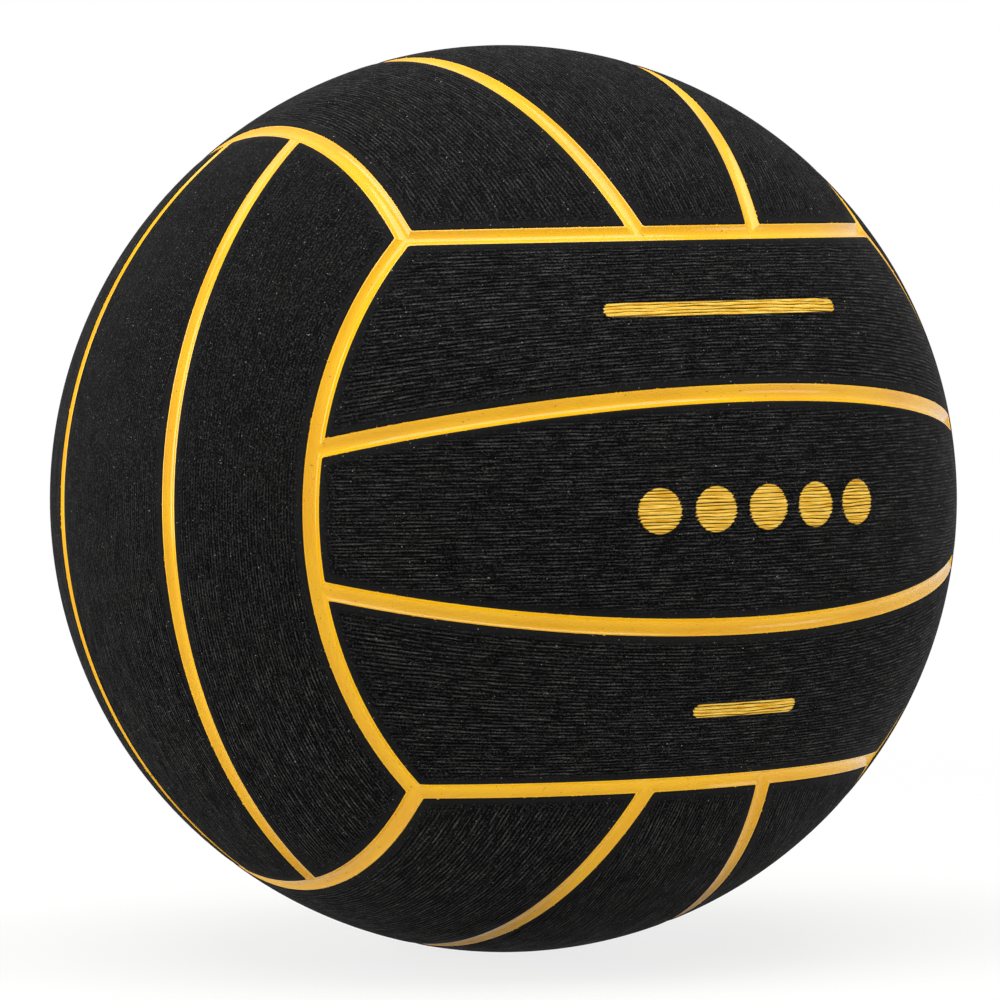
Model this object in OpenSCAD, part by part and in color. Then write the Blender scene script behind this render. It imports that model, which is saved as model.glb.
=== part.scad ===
// Water polo ball of size 5, in millimetres.
// The cover is six groups of three ribbed rubber panels. Coloured strips with a hollow channel fill the
// grooves between the panels. Under the cover lie the carcass rubber, the wound thread and the bladder,
// and one valve reaches through all of them.
// Frame: the origin is the centre of the ball, +Z is up, the front group faces -Y and the valve faces +Y.

/* [Ball] */
// Outside diameter of the inflated ball
ball_diameter = 220; // [205:1:230]

/* [Cover] */
// Thickness of the cover panels
cover_thickness = 1.5; // [1.4:0.05:1.8]
// Width of the groove between two panels
groove_width = 4.4; // [4:0.1:5.2]
// Depth of a channel's floor below the surface of the ball
channel_depth = 1.05; // [0.9:0.05:1.15]
// Depth of a strip's two lips below the surface of the ball
lip_depth = 0.35; // [0.25:0.05:0.5]
// Width of the flat lip on each side of a channel
lip_width = 0.2; // [0.1:0.05:0.4]
// Width of the bevelled shoulder on a panel's rim
shoulder_width = 1.2; // [0.8:0.1:1.8]
// Tilt of a group's two inner seams from the middle of the group, in degrees
inner_seam_tilt = 14; // [11:0.5:17]

/* [Layers] */
// Room for the cement between two pieces that are bonded
cement_gap = 0.2; // [0.15:0.05:0.3]
// Thickness of the carcass rubber under the cover
carcass_thickness = 0.4; // [0.3:0.05:0.6]
// Thickness of the wound thread under the carcass
winding_thickness = 0.4; // [0.3:0.05:0.6]
// Thickness of the bladder's wall
bladder_thickness = 0.5; // [0.4:0.05:0.8]

/* [Valve housing] */
// Diameter of the boss that shows in the cover
boss_diameter = 11; // [10.5:0.5:14]
// Width of the chamfer on the boss's rim
boss_chamfer = 0.3; // [0.2:0.1:0.6]
// Diameter of the flange inside the bladder
flange_diameter = 28; // [22:1:34]
// Thickness of the flange
flange_thickness = 1.4; // [1:0.1:2]
// Width by which the flange's rim tapers
flange_taper = 1.5; // [0.5:0.1:2.5]
// Diameter of the tube that holds the plug
tube_diameter = 9; // [8.5:0.1:10]
// Thickness of the tube's floor below the plug
tube_floor = 1.5; // [1:0.1:2.5]
// Length of the taper at the tube's end
tube_taper = 1.2; // [0.6:0.1:2]
// Diameter of the air port in the tube's floor
air_port_diameter = 1.6; // [1:0.1:2.2]

/* [Valve plug] */
// Diameter of the plug's head
plug_head_diameter = 8; // [7:0.1:8.6]
// Height of the plug's head
plug_head_height = 1.2; // [0.8:0.1:1.6]
// Depth of the plug's head below the surface of the ball
plug_recess = 0.3; // [0.2:0.1:0.6]
// Diameter of the plug's barrel
plug_diameter = 5.6; // [4.6:0.1:6.2]
// Length of the plug with its head
plug_length = 14; // [12:0.5:18]
// Width and height of the chamfers at both ends of the plug
plug_chamfer = 0.4; // [0.2:0.1:0.6]
// Diameter of the bore that takes the inflating needle
needle_bore_diameter = 2; // [1.6:0.1:2.4]
// Depth of the needle bore below its lead-in
needle_bore_depth = 8; // [6:0.5:9]
// Width and depth of the lead-in round the needle bore
needle_lead_in = 0.8; // [0.4:0.1:1]
// Width of each relief groove round the plug's barrel
relief_width = 1; // [0.6:0.1:1.4]
// Depth of each relief groove round the plug's barrel
relief_depth = 0.3; // [0.2:0.1:0.5]
// Running clearance round the plug's barrel
plug_clearance = 0.05; // [0.02:0.01:0.08]
// Clearance round and under the plug's head
head_clearance = 0.15; // [0.1:0.05:0.3]

/* [Hidden] */
// Groups: name, direction along the panels, direction across them, names of the three panels
// in the second direction, names of the two ends in the first direction
FACES = [
    ["front",  [1, 0, 0],  [0, 0, 1], ["lower", "middle", "upper"], ["left", "right"]],
    ["back",   [-1, 0, 0], [0, 0, 1], ["lower", "middle", "upper"], ["right", "left"]],
    ["left",   [0, 0, 1],  [0, 1, 0], ["front", "middle", "back"],  ["bottom", "top"]],
    ["right",  [0, 0, -1], [0, 1, 0], ["front", "middle", "back"],  ["top", "bottom"]],
    ["top",    [0, -1, 0], [1, 0, 0], ["left", "middle", "right"],  ["back", "front"]],
    ["bottom", [0, 1, 0],  [1, 0, 0], ["left", "middle", "right"],  ["front", "back"]]
];
SIDES = [-1, 1];
VALVE_FACE = "back";

function panel_name(face, slot) = str(face[0], "_", face[3][slot + 1], "_panel");
function seam_strip_name(face, side) = str(face[0], "_", face[3][side + 1], "_seam_strip");
function edge_strip_name(face, side) = str(face[0], "_", face[4][(side + 1) / 2], "_edge_strip");

rubber_black = "#242426";
seam_yellow = "#f2b705";
carcass_grey = "#4a4a4d";
thread_white = "#e4dfd2";
bladder_black = "#161618";
plug_grey = "#3a3a3c";

// How far a cutter reaches past what it cuts
overrun = 1;
ball_radius = ball_diameter / 2;
cover_floor = ball_radius - cover_thickness;
carcass_outer = cover_floor - cement_gap;
winding_outer = carcass_outer - carcass_thickness - cement_gap;
bladder_outer = winding_outer - winding_thickness - cement_gap;
flange_outer = bladder_outer - bladder_thickness - cement_gap;

// The edge seams run through the eight corners of a cube in the ball, so they lie on circles at
// this angle from a group's axis
edge_polar = acos(1 / sqrt(3));
corner_azimuth = 45;
mitre_angle = 60;
// Half the angle of an inner seam, from the middle of the group to the edge seam
inner_half_angle = acos(cos(edge_polar) / cos(inner_seam_tilt));
// Angle by which an edge strip's ring runs past its corners before the mitre
corner_overrun = overrun / (ball_radius * sin(edge_polar)) * 180 / PI;

strip_width = groove_width - 2 * cement_gap;
channel_half = strip_width / 2 - lip_width;
channel_rise = channel_depth - lip_depth;
channel_radius = (channel_half ^ 2 + channel_rise ^ 2) / (2 * channel_rise);
channel_centre = ball_radius - channel_depth + channel_radius;
// Step from an edge channel's floor up to the mouth of an inner channel
mouth_rise = lip_width / 2;

// Outline of a panel's rim beside a groove, in the groove's section: wall, foot and bevel
shoulder_slope = shoulder_width / lip_depth;
rim_points = [[cover_floor - overrun, groove_width / 2],
              [ball_radius - lip_depth, groove_width / 2],
              [ball_radius + overrun, groove_width / 2 + (lip_depth + overrun) * shoulder_slope]];

plug_top = ball_radius - plug_recess;
plug_tip = plug_top - plug_length;
plug_shoulder = plug_top - plug_head_height;
head_seat = plug_shoulder - head_clearance;
pocket_floor = plug_tip - head_clearance;
tube_end = pocket_floor - tube_floor;
bore_end = plug_top - needle_lead_in - needle_bore_depth;
barrel_radius = plug_diameter / 2;
// Places of the relief grooves, as shares of the barrel's length from its tip
relief_shares = [0.3, 0.55];

// Fineness of the circles round the ball and of the small ones
BALL_FN = 180;
SMALL_FN = 64;

// Turns a point of a groove's section into the half plane beside the axis of an edge seam
function beside_axis(point) = [
    point.x * sin(edge_polar) - point.y * cos(edge_polar),
    point.x * cos(edge_polar) + point.y * sin(edge_polar)
];

// Turns the group's own frame into place: X along its panels, Y across them and Z outward
module on_face(face) {
    u = face[1];
    v = face[2];
    n = cross(u, v);
    multmatrix([[u.x, v.x, n.x, 0], [u.y, v.y, n.y, 0], [u.z, v.z, n.z, 0], [0, 0, 0, 1]]) children();
}

module ball(radius) {
    sphere(r = radius, $fn = BALL_FN);
}

module shell(outer, thickness) {
    difference() {
        ball(outer);
        ball(outer - thickness);
    }
}

// Section of the bare groove, along +X from the centre of the ball
module groove_section() {
    translate([cover_floor - overrun, -groove_width / 2])
        square([cover_thickness + 2 * overrun, groove_width]);
}

// Section of a strip: flat sides, two lips and the hollow channel
module strip_section() {
    difference() {
        translate([cover_floor, -strip_width / 2])
            square([cover_thickness - lip_depth, strip_width]);
        channel_section();
    }
}

module channel_section() {
    translate([channel_centre, 0]) circle(r = channel_radius, $fn = SMALL_FN);
}

// Turns a section round the group's axis along its edge seams
module edge_ring(start, angle) {
    rotate_extrude(start = start, angle = angle, $fn = BALL_FN)
        rotate(90 - edge_polar) children();
}

// Turns a section along the inner seam on one side of the group
module inner_ring(side, start, angle) {
    rotate([90 - side * inner_seam_tilt, 0, 0])
        rotate_extrude(start = start, angle = angle, $fn = BALL_FN) children();
}

// The cap of the ball inside the group's edge seams, up to the groove's wall and its bevel
module cap() {
    rim = [for (point = rim_points) beside_axis(point)];
    far = ball_radius + overrun;
    rotate_extrude($fn = BALL_FN)
        polygon([[0, rim[0].y], rim[0], rim[1], rim[2], [rim[2].x, far], [0, far]]);
}

// The cone along the far wall of an edge seam's groove, to which a panel beside the cap is cut back
module wall_cone() {
    height = ball_radius + overrun;
    translate([0, 0, -groove_width / 2 / sin(edge_polar)])
        cylinder(h = height, r1 = 0, r2 = height * tan(edge_polar), $fn = BALL_FN);
}

// The cone that leaves the bevel on the rim of a panel beside the cap
module bevel_cone() {
    foot = beside_axis([rim_points[1].x, -rim_points[1].y]);
    step = beside_axis([1, -shoulder_slope]);
    lean = -step.x / step.y;
    height = foot.y + foot.x / lean;
    cylinder(h = height, r1 = height * lean, r2 = 0, $fn = BALL_FN);
}

// The half of the ball on one side of an inner seam's groove, towards +Y or -Y
module half_ball(side, towards) {
    far = ball_radius + overrun;
    rotate([90 - side * inner_seam_tilt, 0, 0])
        mirror([0, 0, towards > 0 ? 1 : 0])
            rotate_extrude($fn = BALL_FN)
                polygon([[0, groove_width / 2], rim_points[1], rim_points[2], [far, far], [0, far]]);
}

// The middle panel of a group, with a round hole where the valve's boss comes through
module middle_panel(has_valve) {
    color(rubber_black) difference() {
        intersection() {
            ball(ball_radius);
            cap();
            half_ball(1, -1);
            half_ball(-1, 1);
        }
        ball(cover_floor);
        if (has_valve) boss_hole();
    }
}

// The panel beside the middle one, up to the neighbouring group's edge seam
module outer_panel(side) {
    color(rubber_black) difference() {
        intersection() {
            ball(ball_radius);
            cap();
            half_ball(side, side);
            rotate([-90 * side, 0, 0]) bevel_cone();
        }
        rotate([-90 * side, 0, 0]) wall_cone();
        ball(cover_floor);
    }
}

// A strip along an inner seam, which butts against the edge strips at both ends
module seam_strip(side) {
    color(seam_yellow) difference() {
        inner_ring(side, 90 - inner_half_angle, 2 * inner_half_angle) strip_section();
        edge_ring(0, 360) groove_section();
    }
}

// The sector that a strip keeps at a corner where three strips meet. The side is that of the corner
module corner_sector(side) {
    setback = cement_gap / 2 / sin(mitre_angle);
    reach = ball_diameter;
    tip = [0, -setback];
    wing = [reach * sin(mitre_angle), -setback - reach * cos(mitre_angle)];
    rotate([0, edge_polar, side * corner_azimuth])
        mirror([0, side < 0 ? 1 : 0, 0])
            linear_extrude(height = ball_radius + overrun)
                polygon([tip, wing, [-wing.x, wing.y]]);
}

// Where an inner seam's channel opens into an edge strip, from the middle of the strip
module channel_mouth(side) {
    rotate([90 - side * inner_seam_tilt, 0, 0])
        rotate([0, 0, 90 - inner_half_angle])
            translate([channel_centre + mouth_rise, 0, 0])
                rotate([-90, 0, 0])
                    cylinder(h = groove_width, r = channel_radius, $fn = SMALL_FN);
}

// A strip along an edge seam, mitred at its two corners and open where the inner channels run into it
module edge_strip(side) {
    color(seam_yellow) rotate([0, 0, side < 0 ? 180 : 0])
        difference() {
            intersection() {
                edge_ring(-corner_azimuth - corner_overrun, 2 * (corner_azimuth + corner_overrun))
                    strip_section();
                corner_sector(1);
                corner_sector(-1);
            }
            for (seam = SIDES) channel_mouth(seam);
        }
}

// The round hole for the valve's boss, along the group's axis
module boss_hole() {
    cylinder(h = ball_radius + overrun, d = boss_diameter + 2 * cement_gap, $fn = SMALL_FN);
}

module layer(outer, thickness) {
    difference() {
        shell(outer, thickness);
        boss_hole();
    }
}

module carcass() {
    color(carcass_grey) layer(carcass_outer, carcass_thickness);
}

module thread_winding() {
    color(thread_white) layer(winding_outer, winding_thickness);
}

module bladder() {
    color(bladder_black) layer(bladder_outer, bladder_thickness);
}

// Boss, flange and tube in one piece, with the stepped pocket that takes the plug
module valve_housing() {
    boss_radius = boss_diameter / 2;
    tube_radius = tube_diameter / 2;
    flange_foot = flange_outer - flange_thickness;
    boss_edge = sqrt(ball_radius ^ 2 - boss_radius ^ 2);
    color(bladder_black) difference() {
        union() {
            intersection() {
                ball(ball_radius);
                rotate_extrude($fn = SMALL_FN)
                    polygon([[0, flange_foot], [boss_radius, flange_foot],
                             [boss_radius, boss_edge - boss_chamfer],
                             [boss_radius - boss_chamfer - overrun, boss_edge + overrun],
                             [0, boss_edge + overrun]]);
            }
            intersection() {
                shell(flange_outer, flange_thickness);
                rotate_extrude($fn = SMALL_FN)
                    polygon([[0, flange_foot - flange_taper],
                             [flange_diameter / 2 - flange_taper, flange_foot],
                             [flange_diameter / 2, flange_outer], [0, flange_outer]]);
            }
            rotate_extrude($fn = SMALL_FN)
                polygon([[0, tube_end], [tube_radius - tube_taper / 2, tube_end],
                         [tube_radius, tube_end + tube_taper], [tube_radius, flange_outer],
                         [0, flange_outer]]);
        }
        rotate_extrude($fn = SMALL_FN)
            polygon([[0, pocket_floor], [barrel_radius + plug_clearance, pocket_floor],
                     [barrel_radius + plug_clearance, head_seat],
                     [plug_head_diameter / 2 + head_clearance, head_seat],
                     [plug_head_diameter / 2 + head_clearance, ball_radius + overrun],
                     [0, ball_radius + overrun]]);
        translate([0, 0, tube_end - overrun])
            cylinder(h = tube_floor + 2 * overrun, d = air_port_diameter, $fn = SMALL_FN);
    }
}

// Half outline of the plug without its bore and grooves, from its tip up
function plug_outline() = [
    [0, plug_tip],
    [barrel_radius - plug_chamfer, plug_tip],
    [barrel_radius, plug_tip + plug_chamfer],
    [barrel_radius, plug_shoulder],
    [plug_head_diameter / 2, plug_shoulder],
    [plug_head_diameter / 2, plug_top - plug_chamfer],
    [plug_head_diameter / 2 - plug_chamfer, plug_top],
    [0, plug_top]
];

module valve_plug() {
    bore_radius = needle_bore_diameter / 2;
    barrel_length = plug_shoulder - plug_tip;
    relief_floor = barrel_radius - relief_depth;
    color(plug_grey) difference() {
        rotate_extrude($fn = SMALL_FN) polygon(plug_outline());
        rotate_extrude($fn = SMALL_FN)
            polygon([[0, bore_end - bore_radius], [bore_radius, bore_end],
                     [bore_radius, plug_top - needle_lead_in],
                     [bore_radius + needle_lead_in + overrun, plug_top + overrun],
                     [0, plug_top + overrun]]);
        for (share = relief_shares)
            translate([0, 0, plug_tip + share * barrel_length])
                difference() {
                    cylinder(h = relief_width, r = barrel_radius + overrun, $fn = SMALL_FN);
                    translate([0, 0, -overrun])
                        cylinder(h = relief_width + 2 * overrun, r = relief_floor, $fn = SMALL_FN);
                }
    }
}

for (face = FACES) {
    for (slot = [-1:1])
        on_face(face) {
                if (slot == 0) middle_panel(face[0] == VALVE_FACE);
                else outer_panel(slot);
            }
    for (side = SIDES) {
        on_face(face) seam_strip(side);
        on_face(face) edge_strip(side);
    }
    if (face[0] == VALVE_FACE) on_face(face) {
        carcass();
        thread_winding();
        bladder();
        valve_housing();
        valve_plug();
    }
}
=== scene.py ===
"""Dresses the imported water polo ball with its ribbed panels, channelled seam strips, valve and studio.

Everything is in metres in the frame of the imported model: the origin is the centre of the ball, +Z is up,
the front group of panels faces -Y and the valve faces +Y.
"""

from __future__ import annotations

import logging
import math
from collections.abc import Sequence
from dataclasses import dataclass, field
from enum import Enum
from typing import Union

import bmesh
import bpy
import numpy as np
from mathutils import Matrix, Vector


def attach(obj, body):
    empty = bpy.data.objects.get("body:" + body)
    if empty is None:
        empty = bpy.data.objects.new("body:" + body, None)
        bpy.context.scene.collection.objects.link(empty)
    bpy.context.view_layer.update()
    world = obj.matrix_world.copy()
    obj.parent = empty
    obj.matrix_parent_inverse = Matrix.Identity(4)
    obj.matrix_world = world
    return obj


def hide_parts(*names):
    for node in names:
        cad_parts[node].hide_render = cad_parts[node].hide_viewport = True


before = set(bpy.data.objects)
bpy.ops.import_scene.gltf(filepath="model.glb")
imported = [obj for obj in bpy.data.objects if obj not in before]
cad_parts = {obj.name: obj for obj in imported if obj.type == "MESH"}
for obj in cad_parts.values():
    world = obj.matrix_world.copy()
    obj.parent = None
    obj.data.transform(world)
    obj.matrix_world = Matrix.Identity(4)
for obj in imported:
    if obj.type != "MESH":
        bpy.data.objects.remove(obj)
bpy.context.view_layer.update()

log = logging.getLogger("water_polo_ball")

Socket = bpy.types.NodeSocket
Value = Union[Socket, float, Sequence[float]]

MM = 0.001
BALL_BODY = "ball"
PLUG_BODY = "plug"

BALL_RADIUS = 110 * MM
COVER_THICKNESS = 1.5 * MM
GROOVE_WIDTH = 3.9 * MM
CHANNEL_DEPTH = 1.2 * MM
LIP_DEPTH = 0.25 * MM
SHOULDER_WIDTH = 0.7 * MM
# Room between the cover and the layer below it
SEAT_GAP = 0.02 * MM
COVER_FLOOR = BALL_RADIUS - COVER_THICKNESS + SEAT_GAP
# How far the ribbed field of a panel lies from the middle of its seams
FIELD_INSET = GROOVE_WIDTH / 2 + SHOULDER_WIDTH
INNER_SEAM_TILT = math.radians(14)
EDGE_POLAR = math.acos(1 / math.sqrt(3))
CORNER_AZIMUTH = math.pi / 4

# The curve between a colour code and its linear value: a straight part and a power
CURVE_KNEE = 0.04045
CURVE_SLOPE = 12.92
CURVE_OFFSET = 0.055
CURVE_POWER = 2.4


def unit(vectors: np.ndarray) -> np.ndarray:
    """Scales vectors along the last axis to length one."""
    return vectors / np.linalg.norm(vectors, axis=-1, keepdims=True)


def linear(code: str) -> tuple[float, float, float, float]:
    """Turns a hex colour code into the linear colour that a shader socket takes.

    Args:
        code: The colour as a number sign and six hex digits.

    Returns:
        Red, green, blue and an alpha of one.
    """
    values = []
    for k in (1, 3, 5):
        share = int(code[k:k + 2], 16) / 255
        if share <= CURVE_KNEE:
            values.append(share / CURVE_SLOPE)
        else:
            values.append(((share + CURVE_OFFSET) / (1 + CURVE_OFFSET)) ** CURVE_POWER)
    return (values[0], values[1], values[2], 1.0)


# The groups of panels and the seams between them


@dataclass(frozen=True)
class Group:
    """One group of three panels with its own frame: along the panels, across them, and outward.

    The wear is the share by which use has rubbed down the ribs of its upper part.
    """

    name: str
    along: tuple[float, float, float]
    across: tuple[float, float, float]
    slots: tuple[str, str, str]
    ends: tuple[str, str]
    wear: float = 0.0

    def place(self, points: np.ndarray) -> np.ndarray:
        """Turns points of the group's frame into the frame of the ball.

        Args:
            points: The points, with the coordinates along the last axis.

        Returns:
            The turned points.
        """
        along = np.array(self.along)
        across = np.array(self.across)
        turn = np.stack([along, across, np.cross(along, across)])
        return points @ turn

    def panel(self, slot: int) -> str:
        """The name of the panel in slot -1, 0 or 1."""
        return f"{self.name}_{self.slots[slot + 1]}_panel"

    def seam_strip(self, side: int) -> str:
        """The name of the strip along the inner seam on one side."""
        return f"{self.name}_{self.slots[side + 1]}_seam_strip"

    def edge_strip(self, side: int) -> str:
        """The name of the strip along the edge seam at one end."""
        return f"{self.name}_{self.ends[(side + 1) // 2]}_edge_strip"


GROUPS = (
    Group("front", (1, 0, 0), (0, 0, 1), ("lower", "middle", "upper"), ("left", "right")),
    Group("back", (-1, 0, 0), (0, 0, 1), ("lower", "middle", "upper"), ("right", "left")),
    Group("left", (0, 0, 1), (0, 1, 0), ("front", "middle", "back"), ("bottom", "top"), wear=0.7),
    Group("right", (0, 0, -1), (0, 1, 0), ("front", "middle", "back"), ("top", "bottom")),
    Group("top", (0, -1, 0), (1, 0, 0), ("left", "middle", "right"), ("back", "front"), wear=0.2),
    Group("bottom", (0, 1, 0), (1, 0, 0), ("left", "middle", "right"), ("front", "back")),
)
VALVE_GROUP = "back"
PRINTED_GROUP = "front"
# Height at which the wear sets in and its rise to the full share, as shares of the ball's radius
WEAR_START = -0.45
WEAR_RISE = 0.6

ALONG = np.array([1.0, 0.0, 0.0])
ACROSS = np.array([0.0, 1.0, 0.0])
OUTWARD = np.array([0.0, 0.0, 1.0])


def tilted(side: int, tilt: float) -> tuple[np.ndarray, np.ndarray]:
    """The axis and the middle direction of a great circle that is tilted towards one side.

    Args:
        side: The side of the group, -1 or 1.
        tilt: The tilt from the middle of the group, in radians.

    Returns:
        The axis, which points away from the middle of the group, and the middle of the circle.
    """
    axis = np.array([0.0, side * math.cos(tilt), -math.sin(tilt)])
    middle = np.array([0.0, side * math.sin(tilt), math.cos(tilt)])
    return axis, middle


@dataclass(frozen=True)
class Circle:
    """A circle on the ball, at a latitude about an axis, measured from a middle direction."""

    axis: np.ndarray
    latitude: float
    middle: np.ndarray

    def points(self, angles: np.ndarray) -> np.ndarray:
        """Directions at angles from the middle of the circle.

        Args:
            angles: The angles about the axis.

        Returns:
            One direction for each angle.
        """
        turn = np.cross(self.axis, self.middle)
        flat = np.multiply.outer(np.cos(angles), self.middle) + np.multiply.outer(np.sin(angles), turn)
        return math.sin(self.latitude) * self.axis + math.cos(self.latitude) * flat

    def angle(self, points: np.ndarray) -> np.ndarray:
        """The angles of directions about the axis, from the middle of the circle."""
        turn = np.cross(self.axis, self.middle)
        return np.arctan2(points @ turn, points @ self.middle)

    def inset(self, distance: float) -> Circle:
        """The circle at a distance from this one, away from its axis."""
        return Circle(self.axis, self.latitude - distance / BALL_RADIUS, self.middle)

    def depth(self, points: np.ndarray) -> np.ndarray:
        """How far directions lie from the circle on the side away from its axis, in metres."""
        return (self.latitude - np.arcsin(np.clip(points @ self.axis, -1, 1))) * BALL_RADIUS

    def meets(self, other: Circle, way: float) -> np.ndarray:
        """The direction where two circles cross.

        Args:
            other: The other circle.
            way: The sign that the direction has along the panels.

        Returns:
            The direction of the crossing.
        """
        mix = float(self.axis @ other.axis)
        first = math.sin(self.latitude)
        second = math.sin(other.latitude)
        share = 1 - mix * mix
        flat = (first - mix * second) / share * self.axis + (second - mix * first) / share * other.axis
        cross = np.cross(self.axis, other.axis)
        rise = math.sqrt(max(0.0, 1 - float(flat @ flat))) / math.sqrt(share)
        found = [flat + sign * rise * cross for sign in (-1, 1)]
        return max(found, key=lambda point: point[0] * way)


def end_circle(way: int) -> Circle:
    """The edge seam at one end of a group."""
    return Circle(-OUTWARD, EDGE_POLAR - math.pi / 2, way * ALONG)


def inner_circle(side: int, outward: int) -> Circle:
    """The inner seam on one side, with its axis pointing away from the panel that it bounds."""
    axis, middle = tilted(side, INNER_SEAM_TILT)
    return Circle(outward * axis, 0.0, middle)


def long_circle(side: int) -> Circle:
    """The neighbouring group's edge seam along an outer panel."""
    return Circle(side * ACROSS, math.pi / 2 - EDGE_POLAR, OUTWARD)


# Meshes, attributes and node trees


@dataclass
class MeshParts:
    """Points, faces and point attributes of a mesh that is being built."""

    points: list[np.ndarray] = field(default_factory=list)
    faces: list[tuple[int, ...]] = field(default_factory=list)
    values: dict[str, list[np.ndarray]] = field(default_factory=dict)
    count: int = 0

    def add(self, points: np.ndarray, **values: np.ndarray | float) -> np.ndarray:
        """Adds points with their attribute values.

        Args:
            points: The points, with the coordinates along the last axis.
            **values: One array or number for each attribute.

        Returns:
            The indices of the new points, in the shape of the input without its last axis.
        """
        shape = points.shape[:-1]
        size = int(np.prod(shape))
        for name, value in values.items():
            flat = np.broadcast_to(np.asarray(value, float), shape).reshape(-1)
            self.values.setdefault(name, []).append(flat)
        self.points.append(points.reshape(-1, 3))
        indices = np.arange(self.count, self.count + size).reshape(shape)
        self.count += size
        return indices

    def add_faces(self, corners: np.ndarray) -> None:
        """Adds faces of the same number of corners, given along the last axis."""
        self.faces.extend(map(tuple, corners.reshape(-1, corners.shape[-1]).tolist()))

    def grid(self, rows: np.ndarray, closed: bool = False) -> None:
        """Adds the quads between rows of indices.

        Args:
            rows: The indices, one row after another.
            closed: Whether the last column joins the first.
        """
        if closed:
            rows = np.concatenate([rows, rows[:, :1]], axis=1)
        self.add_faces(np.stack([rows[:-1, :-1], rows[:-1, 1:], rows[1:, 1:], rows[1:, :-1]], axis=-1))

    def mesh(self, name: str, flipped: bool = False) -> bpy.types.Mesh:
        """Makes the Blender mesh, shaded smooth.

        Args:
            name: The name of the mesh.
            flipped: Whether the faces are turned round.

        Returns:
            The mesh, with one float attribute for each kind of value.
        """
        made = bpy.data.meshes.new(name)
        faces = [face[::-1] for face in self.faces] if flipped else self.faces
        made.from_pydata(np.concatenate(self.points).tolist(), [], faces)
        for key, parts in self.values.items():
            attribute = made.attributes.new(key, "FLOAT", "POINT")
            attribute.data.foreach_set("value", np.concatenate(parts).astype(np.float32))
        made.polygons.foreach_set("use_smooth", [True] * len(made.polygons))
        made.update()
        return made


def new_object(name: str, data: bpy.types.ID) -> bpy.types.Object:
    """Makes an object and links it to the scene.

    Args:
        name: The name of the object.
        data: Its mesh, camera or light.

    Returns:
        The new object.
    """
    made = bpy.data.objects.new(name, data)
    bpy.context.scene.collection.objects.link(made)
    return made


def plain_mesh(piece: bpy.types.Object) -> None:
    """Turns a piece with modifiers into a plain mesh and removes the modifiers.

    Args:
        piece: The piece, which keeps its name.
    """
    graph = bpy.context.evaluated_depsgraph_get()
    shaped = bpy.data.meshes.new_from_object(piece.evaluated_get(graph), depsgraph=graph)
    shaped.name = piece.name
    old = piece.data
    piece.modifiers.clear()
    piece.data = shaped
    bpy.data.meshes.remove(old)


def mend_normals(mesh: bpy.types.Mesh) -> None:
    """Turns the faces of a closed mesh outwards.

    Args:
        mesh: The mesh, which is changed in place.
    """
    work = bmesh.new()
    work.from_mesh(mesh)
    bmesh.ops.recalc_face_normals(work, faces=work.faces)
    work.to_mesh(mesh)
    work.free()


def finish_piece(piece: bpy.types.Object, body: str, node: str) -> None:
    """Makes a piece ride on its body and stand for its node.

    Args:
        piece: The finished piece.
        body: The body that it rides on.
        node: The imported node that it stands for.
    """
    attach(piece, body)
    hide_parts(node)
    log.info("%s: %d faces on %s", piece.name, len(piece.data.polygons), body)


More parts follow.
